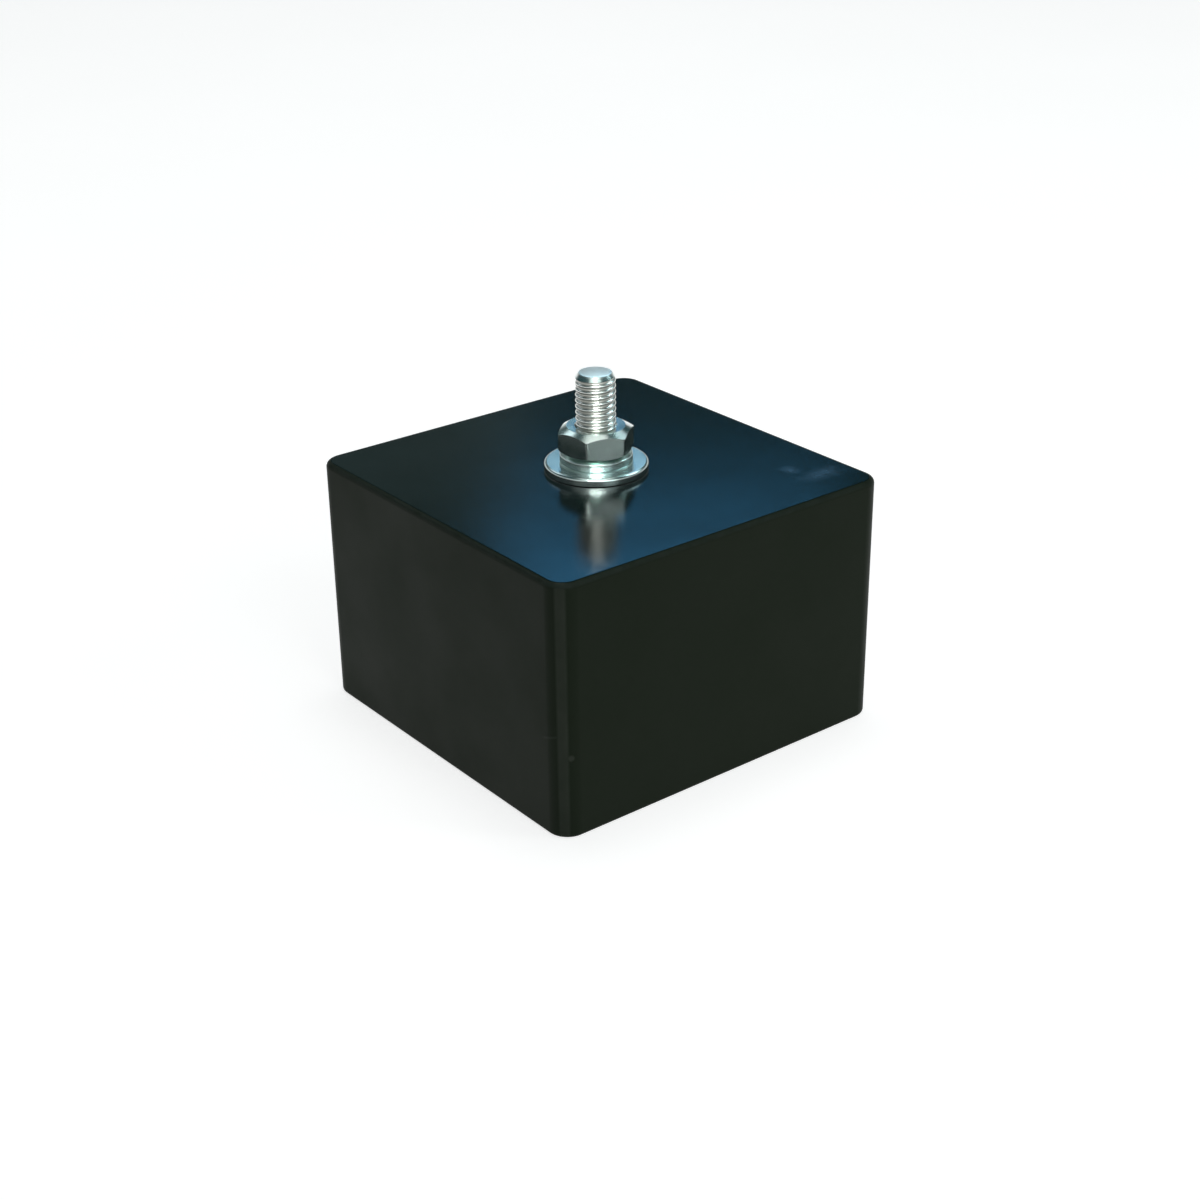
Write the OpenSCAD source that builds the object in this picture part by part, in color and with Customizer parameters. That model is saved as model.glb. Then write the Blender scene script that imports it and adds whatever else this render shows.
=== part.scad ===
// Square rubber foot with a threaded stud, a nut and two washers.
// It stands on its underside, which lies at z = 0. The stud's axis is Z.

/* [Rubber block] */
// Length of the block along X
block_length = 100; // [60:1:160]
// Width of the block along Y
block_width = 100; // [60:1:160]
// Height of the block
block_height = 65; // [60:1:120]
// Radius of the four upright corners
corner_radius = 5.5; // [3:0.5:15]
// Radius of the edge round the top face
top_edge_radius = 1.5; // [0.5:0.1:2.5]
// Radius of the edge round the underside
bottom_edge_radius = 1; // [0.5:0.1:2.5]

/* [Stud] */
// Diameter over the crests of the thread
thread_diameter = 10; // [8:1:12]
// Pitch of the thread
thread_pitch = 1.5; // [1:0.25:2]
// Height of the stud above the block
stud_rise = 25.2; // [24:0.1:60]
// Height of the chamfer on the stud's end
stud_chamfer = 1.2; // [0.5:0.1:2]
// Length of the shank inside the block, down to its head
shank_depth = 24.5; // [15:0.5:40]
// Size across the flats of the head inside the block
head_across_flats = 17; // [14:1:24]
// Height of the head
head_height = 6.4; // [4:0.1:10]
// Step from the head's flats in to its round end face
head_face_inset = 0.7; // [0.2:0.1:1]

/* [Flat washer] */
// Outer diameter of the flat washer
washer_diameter = 26; // [22:0.5:50]
// Thickness of the flat washer
washer_thickness = 2.2; // [1.5:0.1:3]
// Chamfer round the flat washer's upper rim
washer_chamfer = 0.35; // [0.1:0.05:0.6]

/* [Spring washer] */
// Width of the ring, from its bore to its outside
spring_width = 3.95; // [2.5:0.05:5]
// Thickness of the ring
spring_thickness = 2.2; // [1.5:0.1:3]
// Chamfer on the ring's four edges
spring_chamfer = 0.3; // [0.1:0.05:0.5]
// Width of the slit through the ring
slit_width = 0.9; // [0.5:0.1:2]
// Lean of the slit from upright
slit_lean = 25; // [0:1:35]
// Where the slit is: the angle round the stud from +X
slit_direction = 75; // [0:5:355]

/* [Hex nut] */
// Size across the nut's flats
nut_across_flats = 17; // [17:1:24]
// Height of the nut
nut_height = 7; // [5:0.1:12]
// Step from the nut's flats in to its round end faces
nut_face_inset = 1.2; // [0.2:0.1:1.5]
// How far the nut is turned: the angle from +X to a corner
nut_turn = 38; // [0:0.5:60]

/* [Chamfer slope and fits] */
// Slope of the chamfer on the corners of the nut and the head
hex_chamfer_slope = 30; // [15:1:35]
// Gap all round between the stud and the flat washer
washer_clearance = 0.3; // [0.1:0.05:0.8]
// Gap all round between the stud and the spring washer
spring_clearance = 0.15; // [0.05:0.05:0.5]
// Gap between the stud's thread and the nut's thread
thread_clearance = 0.05; // [0.02:0.01:0.1]
// How far the nut's countersinks reach outside the thread's crests
countersink_margin = 0.3; // [0.1:0.05:0.6]

/* [Hidden] */
$fn = 96;

rubber_color = "#1f2725";
zinc_color = "#c2c9cc";

// An ISO thread's pitch line and root lie this far below its crest, as shares of the pitch
pitch_line_share = 0.32476;
root_share = 0.61343;
hex_sides = 6;
// How far a cut or a core runs past the face that it meets
overrun = 1;

// The thread is rolled on a shank of the pitch line's size, and there two threads in mesh meet on average.
// So the shank inside the rubber and the stretch inside the nut are drawn at the pitch line.
crest_radius = thread_diameter / 2;
pitch_radius = crest_radius - pitch_line_share * thread_pitch;
root_radius = crest_radius - root_share * thread_pitch;

stud_top = block_height + stud_rise;
head_top = block_height - shank_depth;
head_bottom = head_top - head_height;
spring_bottom = block_height + washer_thickness;
nut_bottom = spring_bottom + spring_thickness;
nut_top = nut_bottom + nut_height;

washer_radius = washer_diameter / 2;
washer_bore_radius = crest_radius + washer_clearance;
spring_bore_radius = crest_radius + spring_clearance;
spring_radius = spring_bore_radius + spring_width;
nut_bore_radius = pitch_radius + thread_clearance;
countersink_radius = crest_radius + countersink_margin;

// What a corner rounded to this radius loses from its square
module corner_waste(radius) {
    difference() {
        square(radius + overrun);
        circle(r = radius);
    }
}

// Upright section of the block's outer strip, with its two edges rounded and its inner side on x = 0
module edge_section() {
    difference() {
        square([corner_radius, block_height]);
        translate([corner_radius - top_edge_radius, block_height - top_edge_radius])
            corner_waste(top_edge_radius);
        translate([corner_radius - bottom_edge_radius, bottom_edge_radius])
            mirror([0, 1]) corner_waste(bottom_edge_radius);
    }
}

// Strip along one side of the block, lengthwise on Y and facing +X
module block_side(length) {
    translate([0, length / 2, 0])
        rotate([90, 0, 0])
            linear_extrude(height = length) edge_section();
}

module block_corner() {
    rotate_extrude(angle = 90) edge_section();
}

// A core, four sides and four corners, all with the same edges
module solid_block() {
    core_length = block_length - 2 * corner_radius;
    core_width = block_width - 2 * corner_radius;
    translate([-core_length / 2, -core_width / 2, 0])
        cube([core_length, core_width, block_height]);
    for (half_turn = [0, 180])
        rotate(half_turn) {
            translate([core_length / 2, 0, 0]) block_side(core_width);
            translate([0, core_width / 2, 0]) rotate(90) block_side(core_length);
            translate([core_length / 2, core_width / 2, 0]) block_corner();
            translate([-core_length / 2, core_width / 2, 0]) rotate(90) block_corner();
        }
}

// Hexagonal prism, chamfered to a round face at its lower end, and at its upper end if both_ends is true
module chamfered_hexagon(across_flats, height, face_inset, both_ends) {
    corner_distance = across_flats / 2 / cos(180 / hex_sides);
    face_radius = across_flats / 2 - face_inset;
    reach = corner_distance + overrun;
    rise = (reach - face_radius) * tan(hex_chamfer_slope);
    intersection() {
        cylinder(r = corner_distance, h = height, $fn = hex_sides);
        rotate_extrude()
            polygon([
                [0, 0],
                [face_radius, 0],
                [reach, rise],
                [reach, both_ends ? height - rise : height],
                [both_ends ? face_radius : reach, height],
                [0, height]
            ]);
    }
}

module bolt_head() {
    translate([0, 0, head_bottom])
        chamfered_hexagon(head_across_flats, head_height, head_face_inset, false);
}

// The rubber is moulded round the bolt's head and shank, and bonded to them
module rubber_block() {
    color(rubber_color)
        difference() {
            solid_block();
            bolt_head();
            translate([0, 0, head_bottom])
                cylinder(r = pitch_radius, h = head_height + shank_depth + overrun);
        }
}

module stud_bolt() {
    color(zinc_color) {
        bolt_head();
        rotate_extrude()
            polygon([
                [0, head_bottom],
                [pitch_radius, head_bottom],
                [pitch_radius, block_height],
                [crest_radius, block_height],
                [crest_radius, nut_bottom],
                [pitch_radius, nut_bottom],
                [pitch_radius, nut_top],
                [crest_radius, nut_top],
                [crest_radius, stud_top - stud_chamfer],
                [root_radius, stud_top],
                [0, stud_top]
            ]);
    }
}

module flat_washer() {
    color(zinc_color)
        translate([0, 0, block_height])
            rotate_extrude()
                polygon([
                    [washer_bore_radius, 0],
                    [washer_radius, 0],
                    [washer_radius, washer_thickness - washer_chamfer],
                    [washer_radius - washer_chamfer, washer_thickness],
                    [washer_bore_radius, washer_thickness]
                ]);
}

module spring_ring() {
    inner = spring_bore_radius;
    outer = spring_radius;
    chamfer = spring_chamfer;
    rotate_extrude()
        polygon([
            [inner + chamfer, 0],
            [outer - chamfer, 0],
            [outer, chamfer],
            [outer, spring_thickness - chamfer],
            [outer - chamfer, spring_thickness],
            [inner + chamfer, spring_thickness],
            [inner, spring_thickness - chamfer],
            [inner, chamfer]
        ]);
}

// Drawn flat, as the nut holds it. The slit leans so that its ends would bite when the nut turns back.
module spring_washer() {
    slit_length = spring_width + 2 * overrun;
    slit_height = 2 * (spring_thickness + overrun) / cos(slit_lean);
    color(zinc_color)
        translate([0, 0, spring_bottom])
            difference() {
                spring_ring();
                rotate(slit_direction)
                    translate([spring_bore_radius + spring_width / 2, 0, spring_thickness / 2])
                        rotate([-slit_lean, 0, 0])
                            cube([slit_length, slit_width, slit_height], center = true);
            }
}

// The nut's bore at its thread's pitch line, with a 45 degree countersink at each end
module nut_bore() {
    countersink_depth = countersink_radius - nut_bore_radius;
    rotate_extrude()
        polygon([
            [0, -overrun],
            [countersink_radius + overrun, -overrun],
            [nut_bore_radius, countersink_depth],
            [nut_bore_radius, nut_height - countersink_depth],
            [countersink_radius + overrun, nut_height + overrun],
            [0, nut_height + overrun]
        ]);
}

module hex_nut() {
    color(zinc_color)
        translate([0, 0, nut_bottom])
            rotate(nut_turn)
                difference() {
                    chamfered_hexagon(nut_across_flats, nut_height, nut_face_inset, true);
                    nut_bore();
                }
}

rubber_block();
stud_bolt();
flat_washer();
spring_washer();
hex_nut();
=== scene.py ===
"""Rubber foot: a moulded rubber block with a threaded stud, two washers and a hexagon nut.

The file is laid out as an add-on: sizes and finishes are properties, and each group of pieces has an
operator. Everything is in metres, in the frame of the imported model, with the block's underside at z = 0.
"""

import math
from typing import NamedTuple

import bmesh
import bpy
from bpy.props import FloatProperty, FloatVectorProperty, IntProperty, PointerProperty
from bpy.types import Operator, Panel, PropertyGroup
from mathutils import Matrix, Vector


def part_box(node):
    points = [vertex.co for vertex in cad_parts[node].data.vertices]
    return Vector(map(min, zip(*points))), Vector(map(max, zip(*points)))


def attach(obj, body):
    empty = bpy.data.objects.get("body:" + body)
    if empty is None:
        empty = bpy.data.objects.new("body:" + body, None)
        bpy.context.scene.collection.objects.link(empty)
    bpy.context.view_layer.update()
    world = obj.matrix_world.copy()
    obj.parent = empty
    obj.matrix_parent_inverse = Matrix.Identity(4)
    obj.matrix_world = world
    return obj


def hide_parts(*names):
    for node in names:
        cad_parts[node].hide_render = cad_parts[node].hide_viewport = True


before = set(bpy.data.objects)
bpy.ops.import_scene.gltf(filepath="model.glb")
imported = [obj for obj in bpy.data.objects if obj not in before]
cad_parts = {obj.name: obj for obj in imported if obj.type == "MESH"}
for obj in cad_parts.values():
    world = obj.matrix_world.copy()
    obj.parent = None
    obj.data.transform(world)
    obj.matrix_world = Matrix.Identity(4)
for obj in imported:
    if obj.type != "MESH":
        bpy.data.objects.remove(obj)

bl_info = {
    "name": "Rubber foot",
    "version": (1, 0, 0),
    "blender": (4, 5, 0),
    "location": "3D Viewport > Sidebar > Rubber foot",
    "description": "Models a square rubber foot with its stud, washers and nut",
    "category": "Add Mesh",
}

MM = 0.001
FULL_TURN = math.radians(360)
# Points nearer to each other than this are one point
MERGE_DISTANCE = 0.001 * MM
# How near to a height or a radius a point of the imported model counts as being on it
HAIR = 0.01 * MM
# How far a cutting shape runs past what it cuts
OVERRUN = 1 * MM


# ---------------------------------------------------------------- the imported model


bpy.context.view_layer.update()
BLOCK_LOW, BLOCK_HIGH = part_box("rubber_block")
STUD_LOW, STUD_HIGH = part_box("stud_bolt")
WASHER_LOW, WASHER_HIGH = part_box("flat_washer")
SPRING_LOW, SPRING_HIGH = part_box("spring_washer")
NUT_LOW, NUT_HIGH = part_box("hex_nut")


def node_points(name):
    return [v.co.copy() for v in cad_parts[name].data.vertices]


def distance_from_axis(point):
    return math.hypot(point.x, point.y)


def farthest_point(name):
    """The point of a node that lies farthest from the Z axis."""
    return max(node_points(name), key=distance_from_axis)


def least_radius(name):
    return min(distance_from_axis(p) for p in node_points(name))


def radius_near(name, height, choose):
    """The least or greatest radius, as min or max chooses, of a node's points that lie at a height."""
    return choose(distance_from_axis(p) for p in node_points(name) if abs(p.z - height) < HAIR)


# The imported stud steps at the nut's lower face, from its crests to the radius that its shank also has
CREST_RADIUS = radius_near("stud_bolt", NUT_LOW.z, max)
SHANK_RADIUS = radius_near("stud_bolt", NUT_LOW.z, min)


# ---------------------------------------------------------------- shape details


# Facets in one turn of a turned shape and of the plain shank
TURNED_STEPS = 128
SHANK_STEPS = 64
# Facets in each arc of a turned outline, of the spring washer's outline and of the thread's outline
OUTLINE_SEGMENTS = 5
SPRING_SEGMENTS = 4
THREAD_SEGMENTS = 3
# The bevel profile that makes a true arc
ARC_PROFILE = 0.5
# Edges that turn by more than this stay sharp when a piece is smoothed, and large faces count fully
SHARP_ANGLE = math.radians(30)
LARGE_FACE_WEIGHT = 100
# Places across the stud's end, from its rim to its middle, where the crown's height is set
CROWN_SHARES = (1, 0.85, 0.7, 0.5, 0.3, 0.15, 0)
# The spring washer's edges that turn by more than the angle, at the slit, are softened by the width
SLIT_EDGE_ANGLE = math.radians(50)
SLIT_EDGE_WIDTH = 0.1 * MM
SLIT_EDGE_SEGMENTS = 2
# The slit's cutting block is this many times as high as the washer, to pass right through it when it leans
SLIT_BLOCK_HEIGHT = 3
# The flat washer's other edges are this many times finer than its upper rim
FINER_EDGE = 3
# The nut's upright edges are rounded in this many facets
UPRIGHT_SEGMENTS = 4
# The edges of its chamfers, which turn by more than the angle, are softened by a share of the same width
NUT_EDGE_ANGLE = math.radians(22)
NUT_EDGE_SHARE = 0.25
NUT_EDGE_SEGMENTS = 3


# ---------------------------------------------------------------- finish details


# Noise scales, in waves for each metre
GRAIN_SCALE = 7000
SMUDGE_SCALE = 420
RUB_AND_HIGHLIGHT_SCALE = 240
STRIP_SCALE = 90
RIPPLE_SCALE = 60
SIDE_SCALE = 45
CLOUD_SCALE = 28
MOTTLE_SCALE = 260
PLATING_SCALE = 5200
FLOOR_SCALE = 6
# Height and strength of each bump
GRAIN_BUMP = (0.013 * MM, 0.75)
RIPPLE_BUMP = (0.05 * MM, 0.4)
PLATING_BUMP = (0.004 * MM, 0.5)
# The values that most of a noise lies between
NOISE_SPAN = (0.3, 0.7)

# In a pair of places below, a mark or finish starts at the first and is full at the second. In a pair of
# strengths, it has the first where it starts and the second where it is full

# Heights on the block between which the sides' finish and colour give way to the top's, whose darker colour
# is painted shade
TOP_FINISH = (BLOCK_HIGH.z - 0.06 * MM, BLOCK_HIGH.z - 0.01 * MM)
# How far the rubbed edges, lightened partly by wear and partly by a painted highlight, face upwards, from
# just above the sides to just before the flat top
RUB_AND_HIGHLIGHT_START = (0.15, 0.5)
RUB_AND_HIGHLIGHT_END = (0.98, 0.8)
# Where the patches of this rubbing and painted highlight show in their noise, and how strong it is between
# and in them
RUB_AND_HIGHLIGHT_SPAN = (0.3, 0.6)
RUB_AND_HIGHLIGHT_STRENGTH = (0.45, 1.0)
# The same for the cloudy bloom, and the share of it that the top has
BLOOM_SPAN = (0.42, 0.75)
BLOOM_STRENGTH = (0.0, 0.55)
BLOOM_ON_TOP = 0.3
# The clear gloss on the top, from its clearest to its cloudiest places
GLOSS_STRENGTH = (1.0, 0.62)
# How much the roughness of the sides varies each way, and that of the top below and above its setting
SIDE_VARIATION = 0.06
TOP_SMOOTHER, TOP_ROUGHER = 0.04, 0.05
# Smudges on the top face: centre in X and Y, half width and half depth
SMUDGES = (
    (40.2 * MM, -38.2 * MM, 6.5 * MM, 3.2 * MM),
    (35.7 * MM, -31.8 * MM, 2.2 * MM, 2.6 * MM),
)
# Their rim, as a share of those halves, and how ragged it is
SMUDGE_RIM = (1.2, 0.2)
SMUDGE_RAGGEDNESS = 0.3
# The painted highlight strip down the front corner: its sides as X - Y, its end at the top face as X + Y,
# its strength
STRIP_SIDE = (2.2 * MM, 1.3 * MM)
STRIP_END = (-94.7 * MM, -95.7 * MM)
STRIP_STRENGTH = (0.5, 0.95)
# The fine scratch across it: its height where Y is 0, its fall along Y, its edge and strength, and its ends,
# the left as X + Y and the right as X - Y
SCRATCH_LEVEL = 10.6 * MM
SCRATCH_SLOPE = 0.34
SCRATCH_EDGE = (0.45 * MM, 0.1 * MM)
SCRATCH_STRENGTH = (0.0, 0.45)
SCRATCH_LEFT_END = (-92.5 * MM, -94 * MM)
SCRATCH_RIGHT_END = (2.4 * MM, 1.6 * MM)
# The bright speck: its centre and its edge
SPECK = (-46.9 * MM, -49.4 * MM, 21.3 * MM)
SPECK_EDGE = (1.0 * MM, 0.5 * MM)


class Plating(NamedTuple):
    """The colour that one zinc finish is mottled with, and how much rougher it is than the setting."""
    mottle: tuple
    rougher: float


PLATINGS = {
    "zinc_stud": Plating((0.64, 0.64, 0.60), 0.08),
    "zinc_washer": Plating((0.50, 0.62, 0.62), 0.05),
    "zinc_nut": Plating((0.50, 0.63, 0.58), 0.03),
}
# The mottling: where it shows, and how much it changes the roughness
MOTTLE_SPAN = (0.35, 0.7)
MOTTLE_ROUGH_SPAN = (0.25, 0.75)
MOTTLE_SMOOTHER, MOTTLE_ROUGHER = 0.02, 0.03
# Pointiness of the edges that are rubbed bright, and how much smoother they are
BRIGHT_EDGE = (0.505, 0.56)
BRIGHT_SMOOTHER = 0.06
# Darkening on a thread: the depth over which it grows darker towards the root and its strength there, the
# facing at which painted shade darkens the flanks that face down and its strength there, and how much
# rougher it is
DARK_ROOT_DEPTH = 0.4 * MM
DARK_ROOT_STRENGTH = (0.0, 0.4)
UNDER_SHADE_FACING = (-0.1, -0.5)
UNDER_SHADE_STRENGTH = (0.0, 0.9)
DARKENED_ROUGHER = 0.25


# ---------------------------------------------------------------- stage details


class Lamp(NamedTuple):
    """An area lamp that faces the nut, from a compass turn and a rise in degrees.

    Its brightness is that of its face, where 1 is white. It lights by scattered light ("DIFFUSE"), by its
    reflection ("GLOSS"), or by its reflection in the metal pieces alone ("METAL").
    """
    name: str
    turn: float
    rise: float
    distance: float
    width: float
    height: float
    brightness: float
    colour: tuple
    lights: str


LAMPS = (
    Lamp("ceiling_fill", 52, 89, 2.2, 2.6, 2.6, 0.55, (1.0, 1.0, 0.99), "DIFFUSE"),
    Lamp("front_fill", 262, 30, 1.3, 0.6, 0.6, 3.0, (1.0, 1.0, 0.97), "DIFFUSE"),
    Lamp("right_fill", 312, 32, 1.3, 0.3, 0.5, 4.0, (0.96, 1.0, 1.0), "DIFFUSE"),
    Lamp("overhead_softbox", 52, 80, 2.0, 0.9, 0.6, 5.0, (1.0, 1.0, 0.98), "DIFFUSE"),
    Lamp("overhead_panel", 52, 85, 2.0, 1.1, 0.8, 1.3, (1.0, 0.97, 0.96), "GLOSS"),
    Lamp("front_canopy", 232, 62, 1.3, 1.2, 0.9, 0.7, (0.85, 1.0, 0.95), "GLOSS"),
    Lamp("key_softbox", 232, 35, 1.3, 0.6, 0.34, 34.0, (0.95, 1.0, 0.97), "METAL"),
    Lamp("low_key_softbox", 232, 17, 1.3, 0.6, 0.42, 2.4, (1.0, 1.0, 0.97), "METAL"),
    Lamp("front_glow", 226, 26, 1.3, 2.4, 0.45, 0.4, (0.95, 1.0, 0.98), "GLOSS"),
    Lamp("low_front_panel", 262, 10, 1.3, 0.7, 0.4, 1.8, (0.84, 1.0, 1.0), "GLOSS"),
    Lamp("right_strip", 11, 45, 1.3, 0.16, 0.4, 1.1, (0.85, 0.9, 1.0), "GLOSS"),
    Lamp("right_rim_strip", 346, 45, 1.3, 0.3, 0.5, 9.0, (0.7, 0.95, 1.0), "METAL"),
    Lamp("left_strip", 95, 42, 1.3, 0.6, 0.4, 1.6, (0.85, 0.93, 1.0), "GLOSS"),
    Lamp("low_rear_panel", 52, 9, 2.0, 0.5, 0.28, 0.4, (0.9, 0.95, 1.0), "GLOSS"),
    Lamp("left_rear_panel", 60, 20.5, 2.0, 0.36, 0.24, 0.1, (0.8, 1.0, 0.95), "GLOSS"),
    Lamp("rear_panel", 49.3, 28.8, 2.0, 0.42, 0.33, 1.35, (0.12, 0.52, 1.0), "GLOSS"),
    Lamp("upper_rear_panel", 49, 42, 2.0, 0.6, 0.7, 4.6, (0.74, 0.93, 1.0), "METAL"),
)
METAL_PIECES = ("threaded_stud", "wide_flat_washer", "split_spring_washer", "chamfered_nut")
# The surroundings' colour by the sine of the height above the horizon: pale low down, and dim above
SURROUNDINGS = (
    (0.0, (0.98, 0.98, 0.98)),
    (0.05, (0.93, 0.93, 0.94)),
    (0.12, (0.78, 0.79, 0.80)),
    (0.19, (0.28, 0.30, 0.31)),
    (0.26, (0.02, 0.05, 0.055)),
    (1.0, (0.015, 0.05, 0.055)),
)
# The floor's two greys, and the glow that brings it up to the background's white where it is seen or
# mirrored
FLOOR_DARKER = (0.49, 0.49, 0.49)
FLOOR_PALER = (0.51, 0.51, 0.51)
FLOOR_GLOW = 0.76
# Width of the camera's sensor in millimetres, and the nearest and farthest that it sees
CAMERA_SENSOR = 36
CAMERA_NEAR, CAMERA_FAR = 0.01, 100


# ---------------------------------------------------------------- settings


class RubberFootBlock(PropertyGroup):
    corner_radius: FloatProperty(
        name="Corner radius", description="Radius of the upright corners", default=5.5 * MM, unit="LENGTH")
    top_edge_radius: FloatProperty(
        name="Top edge", description="Radius of the edge round the top face", default=1.5 * MM,
        unit="LENGTH")
    bottom_edge_radius: FloatProperty(
        name="Bottom edge", description="Radius of the edge round the underside", default=1.0 * MM,
        unit="LENGTH")
    corner_segments: IntProperty(
        name="Corner segments", description="Facets in a quarter turn of a corner", default=20, min=4)
    edge_segments: IntProperty(
        name="Edge segments", description="Facets in a quarter turn of an edge", default=10, min=3)
    shade_colour: FloatVectorProperty(
        name="Rubber", description="Colour of the rubber", subtype="COLOR", default=(0.0105, 0.0165, 0.0090))
    bloom_colour: FloatVectorProperty(
        name="Bloom", description="Colour of the faint grey bloom on the rubber", subtype="COLOR",
        default=(0.0130, 0.0185, 0.0108))
    # The top face's rubber is painted darker and bluer than the sides as shade, since the lamps light the
    # top more, tinted toward the blue it mirrors
    top_shaded_colour: FloatVectorProperty(
        name="Top", description="Colour of the rubber on the smoother top face", subtype="COLOR",
        default=(0.0016, 0.0048, 0.0040))
    smudge_colour: FloatVectorProperty(
        name="Smudges", description="Colour of the pale smudges on the top face", subtype="COLOR",
        default=(0.036, 0.070, 0.110))
    # Also the colour of the highlight painted in a strip down the front corner
    scuff_and_highlight_colour: FloatVectorProperty(
        name="Scuffs", description="Colour of the scuffs on the front corner", subtype="COLOR",
        default=(0.036, 0.043, 0.033))
    # The lighter rim along the top edge is partly wear and partly a painted highlight of the rounded edge
    rubbed_and_highlight_colour: FloatVectorProperty(
        name="Rubbed edges", description="Colour of the rubber where its edges are rubbed", subtype="COLOR",
        default=(0.021, 0.028, 0.022))
    side_roughness: FloatProperty(
        name="Side roughness", description="Roughness of the moulded sides", default=0.48, min=0, max=1)
    top_roughness: FloatProperty(
        name="Top roughness", description="Roughness of the smoother top face", default=0.10, min=0, max=1)


class RubberFootThread(PropertyGroup):
    pitch: FloatProperty(
        name="Pitch", description="Rise of the thread in one turn", default=1.5 * MM, unit="LENGTH")
    depth: FloatProperty(
        name="Depth", description="Depth of the thread from crest to root", default=0.55 * MM, unit="LENGTH")
    crest_flat: FloatProperty(
        name="Crest", description="Width of the crest", default=0.54 * MM, unit="LENGTH")
    root_flat: FloatProperty(
        name="Root", description="Width of the root", default=0.32 * MM, unit="LENGTH")
    crest_softness: FloatProperty(
        name="Crest edge", description="Radius of the crest's edges", default=0.46 * MM, unit="LENGTH")
    root_softness: FloatProperty(
        name="Root edge", description="Radius of the root's corners", default=0.2 * MM, unit="LENGTH")
    clearance: FloatProperty(
        name="Clearance", description="Gap between the nut's thread and the stud's", default=0.05 * MM,
        unit="LENGTH")
    end_chamfer: FloatProperty(
        name="End chamfer", description="Height of the chamfer on the stud's end", default=1.2 * MM,
        unit="LENGTH")
    end_crown: FloatProperty(
        name="End crown", description="Height of the slight crown on the stud's end", default=0.2 * MM,
        unit="LENGTH")
    steps: IntProperty(name="Steps", description="Facets in one turn of the thread", default=64, min=12)


class RubberFootHardware(PropertyGroup):
    rim_radius: FloatProperty(
        name="Rim", description="Radius of the flat washer's upper rim", default=0.75 * MM, unit="LENGTH")
    spring_edge: FloatProperty(
        name="Spring edge", description="Radius of the spring washer's edges", default=0.35 * MM,
        unit="LENGTH")
    slit_width: FloatProperty(
        name="Slit", description="Width of the spring washer's slit", default=0.9 * MM, unit="LENGTH")
    slit_lean: FloatProperty(
        name="Lean", description="Lean of the slit from upright", default=math.radians(25), unit="ROTATION")
    slit_direction: FloatProperty(
        name="Slit direction", description="Angle from +X to the slit", default=math.radians(75),
        unit="ROTATION")
    chamfer_slope: FloatProperty(
        name="Chamfer slope", description="Slope of the hexagon's corner chamfer", default=math.radians(30),
        unit="ROTATION")
    edge_softness: FloatProperty(
        name="Soft edge", description="Width of the worn edges on the nut", default=0.45 * MM, unit="LENGTH")
    zinc_colour: FloatVectorProperty(
        name="Zinc", description="Colour of the plating", subtype="COLOR", default=(0.56, 0.66, 0.62))
    stud_colour: FloatVectorProperty(
        name="Stud", description="Colour of the greyer plating on the stud", subtype="COLOR",
        default=(0.72, 0.71, 0.67))
    # The colour a thread darkens to towards its root, also painted as shade on its flanks that face down
    dark_thread_colour: FloatVectorProperty(
        name="Grime", description="Colour of the grime in the stud's thread", subtype="COLOR",
        default=(0.27, 0.275, 0.25))
    worn_colour: FloatVectorProperty(
        name="Worn zinc", description="Colour of the rubbed edges", subtype="COLOR",
        default=(0.84, 0.91, 0.89))
    zinc_roughness: FloatProperty(
        name="Zinc roughness", description="Roughness of the plating", default=0.2, min=0, max=1)


class RubberFootStage(PropertyGroup):
    azimuth: FloatProperty(
        name="Azimuth", description="Turn of the camera round the foot", default=math.radians(-37.97),
        unit="ROTATION")
    elevation: FloatProperty(
        name="Elevation", description="Height of the camera as an angle", default=math.radians(25.63),
        unit="ROTATION")
    roll: FloatProperty(
        name="Roll", description="Turn of the camera about its own axis", default=math.radians(-0.74),
        unit="ROTATION")
    distance: FloatProperty(
        name="Distance", description="From the camera to the point it looks at", default=0.5143,
        unit="LENGTH")
    aim: FloatVectorProperty(
        name="Aim", description="The point that the camera looks at", default=(0.00036, -0.00028, 0.02862),
        subtype="TRANSLATION")
    lens: FloatProperty(
        name="Lens", description="Focal length on a 36 mm sensor, in millimetres", default=60.3)
    floor_size: FloatProperty(name="Floor", description="Side of the floor", default=30.0, unit="LENGTH")


# ---------------------------------------------------------------- modelling helpers


def clear_selection():
    if bpy.context.mode != "OBJECT":
        bpy.ops.object.mode_set(mode="OBJECT")
    bpy.ops.object.select_all(action="DESELECT")


def select_only(obj):
    """In object mode, leaves just one object selected and active."""
    clear_selection()
    obj.select_set(True)
    bpy.context.view_layer.objects.active = obj


def edit(obj):
    """Opens one object in edit mode with nothing selected in it."""
    select_only(obj)
    bpy.ops.object.mode_set(mode="EDIT")
    bpy.ops.mesh.select_mode(type="VERT")
    bpy.ops.mesh.select_all(action="DESELECT")


def pick(obj, kind, wanted):
    """In edit mode, selects just the vertices or edges that are wanted."""
    bpy.ops.mesh.select_mode(type=kind)
    bpy.ops.mesh.select_all(action="DESELECT")
    mesh = bmesh.from_edit_mesh(obj.data)
    for element in {"VERT": mesh.verts, "EDGE": mesh.edges}[kind]:
        if wanted(element):
            element.select_set(True)
    mesh.select_flush_mode()
    bmesh.update_edit_mesh(obj.data)


def pick_upright_edges(obj, height):
    """In edit mode, selects the edges that climb more than half of the height."""
    pick(obj, "EDGE", lambda e: abs(e.verts[0].co.z - e.verts[1].co.z) > height / 2)


def round_edges(radius, segments):
    """In edit mode, bevels the selected edges to an arc."""
    bpy.ops.mesh.bevel(offset=radius, segments=segments, profile=ARC_PROFILE, affect="EDGES")


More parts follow.
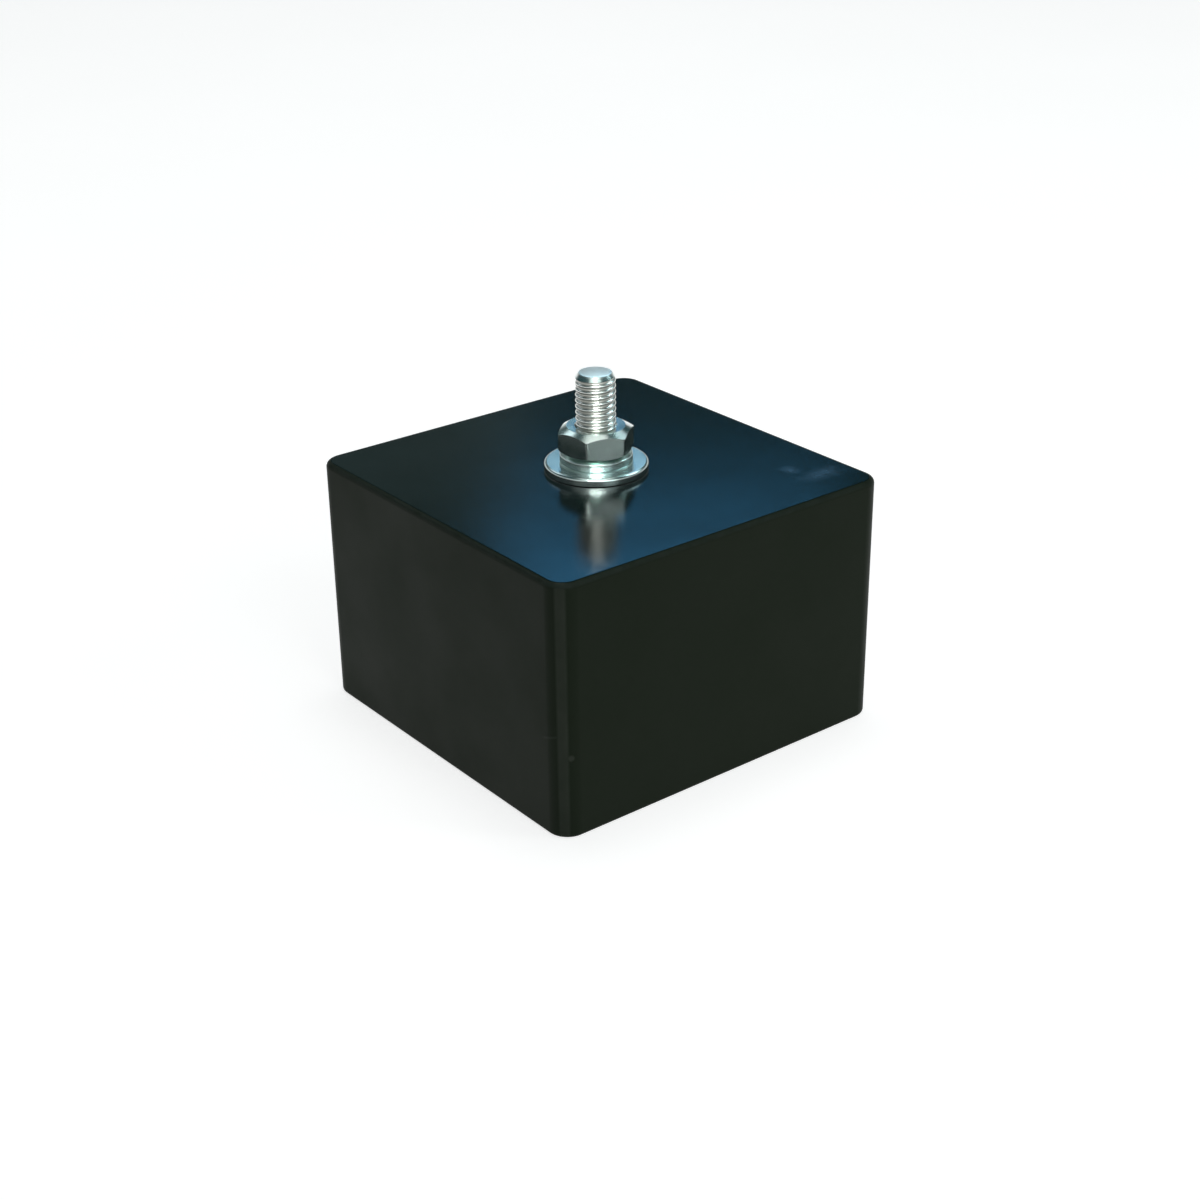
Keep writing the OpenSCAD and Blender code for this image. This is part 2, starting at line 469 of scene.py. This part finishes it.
def bake_modifier(obj, kind, **settings):
    """Adds a modifier to an object and applies it at once."""
    select_only(obj)
    bpy.ops.object.modifier_add(type=kind)
    modifier = obj.modifiers[-1]
    for name, value in settings.items():
        setattr(modifier, name, value)
    bpy.ops.object.modifier_apply(modifier=modifier.name)


def soften_edges(obj, angle, width, segments):
    """Bevels all edges of an object that turn by more than an angle."""
    bake_modifier(obj, "BEVEL", limit_method="ANGLE", angle_limit=angle, width=width, segments=segments)


def combine(obj, tool, operation):
    """Joins, cuts or intersects obj with a closed tool shape, which is then removed."""
    bake_modifier(obj, "BOOLEAN", operation=operation, object=tool, solver="EXACT")
    bpy.data.objects.remove(tool, do_unlink=True)


def close_normals():
    """In edit mode: merges doubles, then turns every face outwards."""
    bpy.ops.mesh.select_all(action="SELECT")
    bpy.ops.mesh.remove_doubles(threshold=MERGE_DISTANCE)
    bpy.ops.mesh.normals_make_consistent(inside=False)


def drawn_profile(name, points, closed):
    """A line of (radius, height) points in the XZ plane, drawn by extruding one vertex along them."""
    clear_selection()
    bpy.ops.mesh.primitive_plane_add(size=MM, location=(0, 0, 0))
    obj = bpy.context.object
    obj.name = name
    edit(obj)
    bpy.ops.mesh.select_all(action="SELECT")
    bpy.ops.mesh.merge(type="CENTER")
    radius, height = points[0]
    bpy.ops.transform.translate(value=(radius, 0, height))
    for (x0, z0), (x1, z1) in zip(points, points[1:]):
        bpy.ops.mesh.extrude_vertices_move(TRANSFORM_OT_translate={"value": (x1 - x0, 0, z1 - z0)})
    if closed:
        first, last = (Vector((radius, 0, height)) for radius, height in (points[0], points[-1]))
        near = MERGE_DISTANCE
        pick(obj, "VERT", lambda v: (v.co - first).length < near or (v.co - last).length < near)
        bpy.ops.mesh.edge_face_add()
    return obj


def turned(name, points, closed=True):
    """A solid of revolution about Z from a profile of (radius, height) points."""
    obj = drawn_profile(name, points, closed)
    bpy.ops.mesh.select_all(action="SELECT")
    bpy.ops.mesh.spin(steps=TURNED_STEPS, angle=FULL_TURN, center=(0, 0, 0), axis=(0, 0, 1))
    close_normals()
    clear_selection()
    return obj


def rounded(points, radii, segments=OUTLINE_SEGMENTS):
    """An outline with some corners replaced by arcs: one radius for each point, 0 for a sharp one."""
    outline = []
    count = len(points)
    for i, (corner, radius) in enumerate(zip(points, radii)):
        if not radius:
            outline.append(corner)
            continue
        here = Vector(corner)
        back = (Vector(points[i - 1]) - here).normalized()
        ahead = (Vector(points[(i + 1) % count]) - here).normalized()
        half = back.angle(ahead) / 2
        centre = here + (back + ahead).normalized() * radius / math.sin(half)
        start = here + back * radius / math.tan(half)
        end = here + ahead * radius / math.tan(half)
        for step in range(segments + 1):
            arm = (start - centre).slerp(end - centre, step / segments)
            outline.append(tuple(centre + radius * arm.normalized()))
    return outline


def finish_piece(obj, name, node, material):
    """Smooths a piece, gives it its finish and puts it in its node's place."""
    select_only(obj)
    bpy.ops.object.transform_apply(location=True, rotation=True, scale=True)
    obj.name = name
    obj.data.name = name
    bpy.ops.object.shade_smooth_by_angle(angle=SHARP_ANGLE)
    bake_modifier(obj, "WEIGHTED_NORMAL", weight=LARGE_FACE_WEIGHT, keep_sharp=True)
    obj.data.materials.clear()
    obj.data.materials.append(material)
    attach(obj, "root")
    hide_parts(node)
    clear_selection()


# ---------------------------------------------------------------- materials


class Nodes:
    """Short calls for building a material's nodes."""

    def __init__(self, name):
        self.material = bpy.data.materials.new(name)
        self.material.use_nodes = True
        self.tree = self.material.node_tree
        self.shader = self.tree.nodes["Principled BSDF"]
        coordinates = self.add("ShaderNodeTexCoord").outputs
        self.place = coordinates["Object"]
        self.facing = coordinates["Normal"]

    def feed(self, socket, value):
        """Links a socket to another node's output, or gives it a constant."""
        if isinstance(value, bpy.types.NodeSocket):
            self.tree.links.new(value, socket)
        else:
            socket.default_value = value

    def add(self, kind, inputs=None, **settings):
        """A new node, with its inputs by name or number and its settings."""
        node = self.tree.nodes.new(kind)
        for key, value in settings.items():
            setattr(node, key, value)
        for key, value in (inputs or {}).items():
            self.feed(node.inputs[key], value)
        return node

    def split(self, vector):
        """The X, Y and Z of a vector."""
        return self.add("ShaderNodeSeparateXYZ", {"Vector": vector}).outputs

    def noise(self, scale, detail, roughness=0.5):
        return self.add("ShaderNodeTexNoise", {
            "Vector": self.place, "Scale": scale, "Detail": detail, "Roughness": roughness,
        }).outputs["Fac"]

    def ramp(self, value, low, high, to_low=0.0, to_high=1.0):
        """A value taken from one range to another, and held at the ends of that."""
        return self.add("ShaderNodeMapRange", {
            "Value": value, "From Min": low, "From Max": high, "To Min": to_low, "To Max": to_high,
        }).outputs["Result"]

    def maths(self, operation, first, second=0.0):
        return self.add("ShaderNodeMath", {0: first, 1: second}, operation=operation).outputs["Value"]

    def product(self, first, *others):
        for other in others:
            first = self.maths("MULTIPLY", first, other)
        return first

    def greatest(self, first, *others):
        for other in others:
            first = self.maths("MAXIMUM", first, other)
        return first

    def vector(self, operation, first, second):
        inputs = {0: first, 1: second}
        return self.add("ShaderNodeVectorMath", inputs, operation=operation).outputs["Vector"]

    def length(self, vector):
        return self.add("ShaderNodeVectorMath", {0: vector}, operation="LENGTH").outputs["Value"]

    def blend(self, share, first, second):
        """A mix of two colours, each a node's output or three numbers."""
        node = self.add("ShaderNodeMix", data_type="RGBA")
        factor, colour_a, colour_b = node.inputs[0], node.inputs[6], node.inputs[7]
        self.feed(factor, share)
        for socket, colour in ((colour_a, first), (colour_b, second)):
            self.feed(socket, colour if isinstance(colour, bpy.types.NodeSocket) else (*colour, 1.0))
        return node.outputs[2]

    def bump(self, height, distance, strength, normal=None):
        inputs = {"Height": height, "Distance": distance, "Strength": strength}
        if normal:
            inputs["Normal"] = normal
        return self.add("ShaderNodeBump", inputs).outputs["Normal"]

    def connect(self, **sockets):
        """Sets the shader's sockets, named with _ for a space, and gives the finished material."""
        for name, value in sockets.items():
            self.feed(self.shader.inputs[name.replace("_", " ")], value)
        return self.material


def smudges(n):
    """Where pale smudges lie on the top face."""
    noise = n.noise(SMUDGE_SCALE, detail=3, roughness=0.6)
    ragged = n.ramp(noise, *NOISE_SPAN, -SMUDGE_RAGGEDNESS, SMUDGE_RAGGEDNESS)
    mask = 0.0
    for x, y, width, depth in SMUDGES:
        offset = n.vector("SUBTRACT", n.place, (x, y, BLOCK_HIGH.z))
        reach = n.length(n.vector("DIVIDE", offset, (width, depth, MM)))
        mask = n.greatest(mask, n.ramp(n.maths("ADD", reach, ragged), *SMUDGE_RIM))
    return mask


def corner_highlight_strip(n, across, outward):
    """A painted highlight strip down the middle of the front corner."""
    patchy = n.ramp(n.noise(STRIP_SCALE, detail=3), *NOISE_SPAN, *STRIP_STRENGTH)
    return n.product(n.ramp(n.maths("ABSOLUTE", across), *STRIP_SIDE), n.ramp(outward, *STRIP_END), patchy)


def corner_scratch(n, axes, across, outward):
    """A fine scratch across the front corner."""
    climb = n.maths("ADD", axes["Z"], n.maths("MULTIPLY", axes["Y"], SCRATCH_SLOPE))
    off_line = n.maths("ABSOLUTE", n.maths("SUBTRACT", climb, SCRATCH_LEVEL))
    line = n.ramp(off_line, *SCRATCH_EDGE, *SCRATCH_STRENGTH)
    return n.product(line, n.ramp(outward, *SCRATCH_LEFT_END), n.ramp(across, *SCRATCH_RIGHT_END))


def corner_scuffs_and_highlight(n, axes):
    """The painted highlight strip and the scratch on the front corner, with one bright speck."""
    across = n.maths("SUBTRACT", axes["X"], axes["Y"])
    outward = n.maths("ADD", axes["X"], axes["Y"])
    speck = n.ramp(n.length(n.vector("SUBTRACT", n.place, SPECK)), *SPECK_EDGE)
    return n.greatest(corner_highlight_strip(n, across, outward), corner_scratch(n, axes, across, outward), speck)


def rubber(settings):
    """Moulded black rubber: dull, faintly grained sides and a smoother, glossier top."""
    n = Nodes("moulded_rubber")
    axes = n.split(n.place)
    upward = n.split(n.facing)["Z"]
    on_top = n.ramp(axes["Z"], *TOP_FINISH)
    cloud = n.noise(CLOUD_SCALE, detail=4, roughness=0.6)

    # A lighter rim where the top edge turns up: partly wear, partly a painted highlight of the rounded edge
    patchy = n.ramp(n.noise(RUB_AND_HIGHLIGHT_SCALE, detail=3, roughness=0.65), *RUB_AND_HIGHLIGHT_SPAN, *RUB_AND_HIGHLIGHT_STRENGTH)
    rubbed = n.product(n.ramp(upward, *RUB_AND_HIGHLIGHT_START), n.ramp(upward, *RUB_AND_HIGHLIGHT_END), patchy)
    bloom = n.product(n.ramp(cloud, *BLOOM_SPAN, *BLOOM_STRENGTH), n.ramp(on_top, 0, 1, 1, BLOOM_ON_TOP))
    # The top face takes a darker, bluer colour: painted shade, since the lamps light the top more than the
    # sides
    colour = n.blend(on_top, settings.shade_colour, settings.top_shaded_colour)
    colour = n.blend(bloom, colour, settings.bloom_colour)
    colour = n.blend(smudges(n), colour, settings.smudge_colour)
    # The front corner's scratch and speck, with a painted highlight strip down the corner
    colour = n.blend(corner_scuffs_and_highlight(n, axes), colour, settings.scuff_and_highlight_colour)
    colour = n.blend(rubbed, colour, settings.rubbed_and_highlight_colour)

    dull, smooth = settings.side_roughness, settings.top_roughness
    side = n.ramp(n.noise(SIDE_SCALE, detail=4), *NOISE_SPAN, dull - SIDE_VARIATION, dull + SIDE_VARIATION)
    top = n.ramp(cloud, *NOISE_SPAN, smooth - TOP_SMOOTHER, smooth + TOP_ROUGHER)
    rough = n.maths("ADD", side, n.maths("MULTIPLY", n.maths("SUBTRACT", top, side), on_top))
    gloss = n.product(on_top, n.ramp(cloud, *NOISE_SPAN, *GLOSS_STRENGTH))

    ripples = n.bump(n.noise(RIPPLE_SCALE, detail=2, roughness=0.45), *RIPPLE_BUMP)
    relief = n.bump(n.noise(GRAIN_SCALE, detail=2), *GRAIN_BUMP, ripples)
    return n.connect(
        Base_Color=colour, Roughness=rough, Normal=relief, Specular_IOR_Level=0.06, Coat_Weight=gloss,
        Coat_Roughness=smooth, Coat_IOR=1.5, Coat_Normal=relief)


def thread_darkening(n):
    """Where a thread is darkened: towards the root, near the shank's radius, and with painted shade on what
    faces down.
    """
    axes = n.split(n.place)
    flat = n.add("ShaderNodeCombineXYZ", {"X": axes["X"], "Y": axes["Y"]}).outputs["Vector"]
    deep = n.ramp(n.length(flat), SHANK_RADIUS, SHANK_RADIUS - DARK_ROOT_DEPTH, *DARK_ROOT_STRENGTH)
    under = n.ramp(n.split(n.facing)["Z"], *UNDER_SHADE_FACING, *UNDER_SHADE_STRENGTH)
    return n.greatest(deep, under)


def zinc(name, settings, colour, threaded=False):
    """Bright zinc plating: slightly mottled, rubbed brighter on its edges, and on a thread darker towards
    the root, with painted shade on what faces down.
    """
    n = Nodes(name)
    plating = PLATINGS[name]
    roughness = settings.zinc_roughness + plating.rougher
    mottle = n.noise(MOTTLE_SCALE, detail=2)
    colour = n.blend(n.ramp(mottle, *MOTTLE_SPAN), colour, plating.mottle)
    rubbed = n.ramp(n.add("ShaderNodeNewGeometry").outputs["Pointiness"], *BRIGHT_EDGE)
    colour = n.blend(rubbed, colour, settings.worn_colour)
    rough = n.ramp(mottle, *MOTTLE_ROUGH_SPAN, roughness - MOTTLE_SMOOTHER, roughness + MOTTLE_ROUGHER)
    rough = n.maths("SUBTRACT", rough, n.maths("MULTIPLY", rubbed, BRIGHT_SMOOTHER))
    if threaded:
        # Darker towards the thread's root, and painted shade on the flanks that face down
        darkening = thread_darkening(n)
        colour = n.blend(darkening, colour, settings.dark_thread_colour)
        rough = n.maths("ADD", rough, n.maths("MULTIPLY", darkening, DARKENED_ROUGHER))
    relief = n.bump(n.noise(PLATING_SCALE, detail=3, roughness=0.65), *PLATING_BUMP)
    return n.connect(Base_Color=colour, Metallic=1.0, Roughness=rough, Normal=relief)


# ---------------------------------------------------------------- shared forms


def chamfered_hexagon(name, low, high, corner, face_radius, slope, both_ends, softness=0):
    """A hexagonal prism with a corner at the given point, its corners turned off to a round face.

    They are turned off at the bottom, and at the top too where both ends are asked for. Where it has a
    softness, its upright edges are rounded first.
    """
    clear_selection()
    radius = distance_from_axis(corner)
    bpy.ops.mesh.primitive_cylinder_add(
        vertices=6, radius=radius, depth=high - low, location=(0, 0, (low + high) / 2))
    obj = bpy.context.object
    obj.name = name
    first = obj.data.vertices[0].co
    obj.rotation_euler.z = math.atan2(corner.y, corner.x) - math.atan2(first.y, first.x)
    bpy.ops.object.transform_apply(location=True, rotation=True, scale=False)
    if softness:
        edit(obj)
        pick_upright_edges(obj, high - low)
        round_edges(softness, UPRIGHT_SEGMENTS)
    reach = radius + OVERRUN
    rise = (reach - face_radius) * math.tan(slope)
    outline = [(0, low), (face_radius, low), (reach, low + rise)]
    if both_ends:
        outline += [(reach, high - rise), (face_radius, high), (0, high)]
    else:
        outline += [(reach, high), (0, high)]
    combine(obj, turned("chamfer_envelope", outline, closed=False), "INTERSECT")
    return obj


def thread_outline(crest_radius, thread):
    """One turn of the thread's outline as (radius, height) points, from the middle of a root to the next."""
    root_radius = crest_radius - thread.depth
    root = thread.root_flat / 2
    crest = (thread.pitch - thread.crest_flat) / 2
    corners = [
        (root_radius, 0),
        (root_radius, root),
        (crest_radius, crest),
        (crest_radius, thread.pitch - crest),
        (root_radius, thread.pitch - root),
        (root_radius, thread.pitch),
    ]
    softness = [
        0, thread.root_softness, thread.crest_softness, thread.crest_softness, thread.root_softness, 0]
    return rounded(corners, softness, THREAD_SEGMENTS)


def threaded_rod(name, low, high, crest_radius, thread):
    """A rod with a right-hand thread, cut square at both ends."""
    start = low - thread.pitch
    outline = [(radius, start + height) for radius, height in thread_outline(crest_radius, thread)]
    rod = drawn_profile(name, outline, closed=False)
    turns = math.ceil((high - low) / thread.pitch) + 2
    bake_modifier(rod, "SCREW", axis="Z", angle=FULL_TURN, screw_offset=thread.pitch, iterations=turns,
                  steps=thread.steps, render_steps=thread.steps, use_merge_vertices=True,
                  merge_threshold=MERGE_DISTANCE)
    edit(rod)
    for height, normal in ((low, -1), (high, 1)):
        bpy.ops.mesh.select_all(action="SELECT")
        bpy.ops.mesh.bisect(plane_co=(0, 0, height), plane_no=(0, 0, normal), use_fill=True,
                            clear_outer=True, threshold=MERGE_DISTANCE)
    close_normals()
    clear_selection()
    return rod


def bolt_anchor(name, settings, top):
    """The bolt's hexagonal head and plain shank inside the rubber, with the shank's top at a height."""
    corner = farthest_point("stud_bolt")
    reach = distance_from_axis(corner) - HAIR
    head_top = max(p.z for p in node_points("stud_bolt") if distance_from_axis(p) > reach)
    face_radius = radius_near("stud_bolt", STUD_LOW.z, max)
    head = chamfered_hexagon(
        name, STUD_LOW.z, head_top, corner, face_radius, settings.chamfer_slope, both_ends=False)
    foot = STUD_LOW.z + OVERRUN
    clear_selection()
    bpy.ops.mesh.primitive_cylinder_add(
        vertices=SHANK_STEPS, radius=SHANK_RADIUS, depth=top - foot, location=(0, 0, (foot + top) / 2))
    shank = bpy.context.object
    bpy.ops.object.transform_apply(location=True, rotation=False, scale=False)
    combine(head, shank, "UNION")
    return head


# ---------------------------------------------------------------- operators


class RUBBER_FOOT_OT_block(Operator):
    """Model the moulded rubber block with its rounded edges and the hollow that the bolt fills"""
    bl_idname = "rubber_foot.block"
    bl_label = "Rubber block"

    def execute(self, context):
        shape = context.scene.rubber_foot_block
        size = BLOCK_HIGH - BLOCK_LOW
        clear_selection()
        bpy.ops.mesh.primitive_cube_add(size=1, location=(BLOCK_LOW + BLOCK_HIGH) / 2)
        block = context.object
        block.scale = size
        bpy.ops.object.transform_apply(location=True, rotation=False, scale=True)
        edit(block)
        pick_upright_edges(block, size.z)
        round_edges(shape.corner_radius, shape.corner_segments)
        rims = ((BLOCK_HIGH.z, shape.top_edge_radius), (BLOCK_LOW.z, shape.bottom_edge_radius))
        for height, radius in rims:
            pick(block, "EDGE", lambda e: all(abs(v.co.z - height) < MERGE_DISTANCE for v in e.verts))
            round_edges(radius, shape.edge_segments)
        close_normals()
        clear_selection()
        anchor = bolt_anchor("anchor_hollow", context.scene.rubber_foot_hardware, BLOCK_HIGH.z + OVERRUN)
        combine(block, anchor, "DIFFERENCE")
        finish_piece(block, "moulded_block", "rubber_block", rubber(shape))
        return {"FINISHED"}


class RUBBER_FOOT_OT_stud(Operator):
    """Model the bolt: its threaded end above the rubber, its plain shank and its moulded-in head"""
    bl_idname = "rubber_foot.stud"
    bl_label = "Threaded stud"

    def execute(self, context):
        thread = context.scene.rubber_foot_thread
        hardware = context.scene.rubber_foot_hardware
        rod = threaded_rod("threaded_end", BLOCK_HIGH.z, STUD_HIGH.z + OVERRUN, CREST_RADIUS, thread)
        combine(rod, self.end_envelope(thread), "INTERSECT")
        combine(rod, bolt_anchor("shank_and_head", hardware, BLOCK_HIGH.z + OVERRUN), "UNION")
        material = zinc("zinc_stud", hardware, hardware.stud_colour, threaded=True)
        finish_piece(rod, "threaded_stud", "stud_bolt", material)
        return {"FINISHED"}

    def end_envelope(self, thread):
        """A round shape that the rod is trimmed to, with the end's chamfer and its slight crown."""
        tip_radius = radius_near("stud_bolt", STUD_HIGH.z, max)
        slope = (CREST_RADIUS - tip_radius) / thread.end_chamfer
        rim = STUD_HIGH.z - thread.end_crown
        crown = [(tip_radius * share, STUD_HIGH.z - thread.end_crown * share ** 2) for share in CROWN_SHARES]
        return turned("stud_envelope", [
            (0, BLOCK_HIGH.z - OVERRUN),
            (CREST_RADIUS + OVERRUN, BLOCK_HIGH.z - OVERRUN),
            (CREST_RADIUS + OVERRUN, rim - thread.end_chamfer - OVERRUN / slope),
            *crown,
        ], closed=False)


class RUBBER_FOOT_OT_washers(Operator):
    """Model the flat washer and the split spring washer"""
    bl_idname = "rubber_foot.washers"
    bl_label = "Washers"

    def execute(self, context):
        hardware = context.scene.rubber_foot_hardware
        material = zinc("zinc_washer", hardware, hardware.zinc_colour)
        finish_piece(self.flat(hardware), "wide_flat_washer", "flat_washer", material)
        finish_piece(self.spring(hardware), "split_spring_washer", "spring_washer", material)
        return {"FINISHED"}

    def flat(self, hardware):
        bore, rim = least_radius("flat_washer"), WASHER_HIGH.x
        low, high = WASHER_LOW.z, WASHER_HIGH.z
        corners = [(bore, low), (rim, low), (rim, high), (bore, high)]
        fine = hardware.rim_radius / FINER_EDGE
        return turned("washer", rounded(corners, [fine, fine, hardware.rim_radius, fine]))

    def spring(self, hardware):
        bore = least_radius("spring_washer")
        rim = distance_from_axis(farthest_point("spring_washer"))
        low, high = SPRING_LOW.z, SPRING_HIGH.z
        corners = [(bore, low), (rim, low), (rim, high), (bore, high)]
        ring = turned("spring", rounded(corners, [hardware.spring_edge] * 4, SPRING_SEGMENTS))
        clear_selection()
        bpy.ops.mesh.primitive_cube_add(size=1, location=(0, 0, 0))
        slit = bpy.context.object
        turn = Matrix.Rotation(hardware.slit_direction, 4, "Z")
        middle = Matrix.Translation(((bore + rim) / 2, 0, (low + high) / 2))
        lean = Matrix.Rotation(-hardware.slit_lean, 4, "X")
        size = (rim - bore + 2 * OVERRUN, hardware.slit_width, SLIT_BLOCK_HEIGHT * (high - low))
        slit.matrix_world = turn @ middle @ lean @ Matrix.Diagonal((*size, 1))
        combine(ring, slit, "DIFFERENCE")
        soften_edges(ring, SLIT_EDGE_ANGLE, SLIT_EDGE_WIDTH, SLIT_EDGE_SEGMENTS)
        return ring


class RUBBER_FOOT_OT_nut(Operator):
    """Model the hexagon nut with its chamfered corners and its threaded, countersunk bore"""
    bl_idname = "rubber_foot.nut"
    bl_label = "Hexagon nut"

    def execute(self, context):
        thread = context.scene.rubber_foot_thread
        hardware = context.scene.rubber_foot_hardware
        softness = hardware.edge_softness
        nut = chamfered_hexagon(
            "nut", NUT_LOW.z, NUT_HIGH.z, farthest_point("hex_nut"), radius_near("hex_nut", NUT_HIGH.z, max),
            hardware.chamfer_slope, both_ends=True, softness=softness)
        soften_edges(nut, NUT_EDGE_ANGLE, softness * NUT_EDGE_SHARE, NUT_EDGE_SEGMENTS)
        bore = threaded_rod(
            "nut_thread", NUT_LOW.z - OVERRUN, NUT_HIGH.z + OVERRUN, CREST_RADIUS + thread.clearance, thread)
        combine(nut, bore, "DIFFERENCE")
        for face, inward in ((NUT_HIGH.z, -1), (NUT_LOW.z, 1)):
            combine(nut, self.countersink(face, inward, thread), "DIFFERENCE")
        finish_piece(nut, "chamfered_nut", "hex_nut",
                     zinc("zinc_nut", hardware, hardware.zinc_colour))
        return {"FINISHED"}

    def countersink(self, face, inward, thread):
        """A 45 degree cone that opens the bore at a face, from its mouth there down to the thread's root."""
        mouth = radius_near("hex_nut", NUT_HIGH.z, min)
        throat = CREST_RADIUS - thread.depth
        depth = mouth - throat
        return turned("countersink", [
            (0, face - inward * OVERRUN),
            (mouth + OVERRUN, face - inward * OVERRUN),
            (throat, face + inward * depth),
            (0, face + inward * depth),
        ], closed=False)


class RUBBER_FOOT_OT_stage(Operator):
    """Set up the floor, the lamps, the surroundings and the camera"""
    bl_idname = "rubber_foot.stage"
    bl_label = "Stage"

    def execute(self, context):
        stage = context.scene.rubber_foot_stage
        self.floor(stage)
        self.surroundings(context.scene)
        metal = self.metal_pieces()
        for lamp in LAMPS:
            self.light(lamp, metal)
        self.camera(context.scene, stage)
        context.scene.view_settings.view_transform = "Standard"
        return {"FINISHED"}

    def floor(self, stage):
        clear_selection()
        bpy.ops.mesh.primitive_plane_add(size=stage.floor_size, location=(0, 0, 0))
        floor = bpy.context.object
        floor.name = "pale_floor"
        n = Nodes("pale_floor")
        patch = n.ramp(n.noise(FLOOR_SCALE, detail=2), *NOISE_SPAN)
        rays = n.add("ShaderNodeLightPath").outputs
        seen = n.greatest(rays["Is Camera Ray"], rays["Is Glossy Ray"], rays["Is Transmission Ray"])
        floor.data.materials.append(n.connect(
            Base_Color=n.blend(patch, FLOOR_DARKER, FLOOR_PALER), Roughness=0.7, Specular_IOR_Level=0.1,
            Emission_Color=(1, 1, 1, 1), Emission_Strength=n.product(seen, FLOOR_GLOW)))

    def surroundings(self, scene):
        """Pale at the horizon, where it meets the floor, and dim above."""
        world = bpy.data.worlds.new("soft_studio")
        scene.world = world
        world.use_nodes = True
        tree = world.node_tree
        place = tree.nodes.new("ShaderNodeTexCoord")
        axes = tree.nodes.new("ShaderNodeSeparateXYZ")
        ramp = tree.nodes.new("ShaderNodeValToRGB")
        tree.links.new(place.outputs["Generated"], axes.inputs[0])
        tree.links.new(axes.outputs["Z"], ramp.inputs["Fac"])
        tree.links.new(ramp.outputs["Color"], tree.nodes["Background"].inputs["Color"])
        elements = ramp.color_ramp.elements
        while len(elements) < len(SURROUNDINGS):
            elements.new(0.5)
        for element, (position, colour) in zip(elements, SURROUNDINGS):
            element.position = position
            element.color = (*colour, 1)

    def metal_pieces(self):
        """The pieces that some lamps light alone, so that the rubber's top doesn't mirror those lamps."""
        metal = bpy.data.collections.new("metal_pieces")
        for name in METAL_PIECES:
            if name in bpy.data.objects:
                metal.objects.link(bpy.data.objects[name])
        return metal

    def light(self, lamp, metal):
        clear_selection()
        turn, rise = math.radians(lamp.turn), math.radians(lamp.rise)
        target = Vector((0, 0, NUT_LOW.z))
        toward = Vector((math.cos(turn) * math.cos(rise), math.sin(turn) * math.cos(rise), math.sin(rise)))
        bpy.ops.object.light_add(type="AREA", location=target + toward * lamp.distance)
        light = bpy.context.object
        light.name = lamp.name
        light.data.name = lamp.name
        light.data.shape = "RECTANGLE"
        light.data.size = lamp.width
        light.data.size_y = lamp.height
        light.data.energy = math.pi * lamp.width * lamp.height * lamp.brightness
        light.data.color = lamp.colour
        light.rotation_euler = toward.to_track_quat("Z", "Y").to_euler()
        light.visible_camera = False
        light.visible_diffuse = lamp.lights == "DIFFUSE"
        light.visible_glossy = lamp.lights != "DIFFUSE"
        if lamp.lights == "METAL":
            light.light_linking.receiver_collection = metal

    def camera(self, scene, stage):
        clear_selection()
        bpy.ops.object.camera_add()
        camera = bpy.context.object
        camera.name = "front_camera"
        turn = Matrix.Rotation(stage.azimuth, 3, "Z") @ Matrix.Rotation(
            math.radians(90) - stage.elevation, 3, "X") @ Matrix.Rotation(stage.roll, 3, "Z")
        camera.location = Vector(stage.aim) + turn @ Vector((0, 0, stage.distance))
        camera.rotation_euler = turn.to_euler()
        camera.data.lens = stage.lens
        camera.data.sensor_width = CAMERA_SENSOR
        camera.data.clip_start = CAMERA_NEAR
        camera.data.clip_end = CAMERA_FAR
        scene.camera = camera


# ---------------------------------------------------------------- panel and registration


GROUPS = {
    "rubber_foot_block": RubberFootBlock,
    "rubber_foot_thread": RubberFootThread,
    "rubber_foot_hardware": RubberFootHardware,
    "rubber_foot_stage": RubberFootStage,
}
OPERATORS = (
    RUBBER_FOOT_OT_block,
    RUBBER_FOOT_OT_stud,
    RUBBER_FOOT_OT_washers,
    RUBBER_FOOT_OT_nut,
    RUBBER_FOOT_OT_stage,
)


class RUBBER_FOOT_PT_sidebar(Panel):
    """Lists the operators that build the foot, with its sizes and finishes"""
    bl_idname = "RUBBER_FOOT_PT_sidebar"
    bl_label = "Rubber foot"
    bl_space_type = "VIEW_3D"
    bl_region_type = "UI"
    bl_category = "Rubber foot"

    def draw(self, context):
        for step in OPERATORS:
            self.layout.operator(step.bl_idname)
        for name in GROUPS:
            settings = getattr(context.scene, name)
            box = self.layout.box()
            for key in settings.__annotations__:
                box.prop(settings, key)


def register():
    for group in GROUPS.values():
        bpy.utils.register_class(group)
    for name, group in GROUPS.items():
        setattr(bpy.types.Scene, name, PointerProperty(type=group))
    for step in (*OPERATORS, RUBBER_FOOT_PT_sidebar):
        bpy.utils.register_class(step)


def unregister():
    for step in reversed((*OPERATORS, RUBBER_FOOT_PT_sidebar)):
        bpy.utils.unregister_class(step)
    for name, group in reversed(GROUPS.items()):
        delattr(bpy.types.Scene, name)
        bpy.utils.unregister_class(group)


def main():
    register()
    bpy.ops.rubber_foot.block()
    bpy.ops.rubber_foot.stud()
    bpy.ops.rubber_foot.washers()
    bpy.ops.rubber_foot.nut()
    bpy.ops.rubber_foot.stage()


if __name__ == "__main__":
    main()
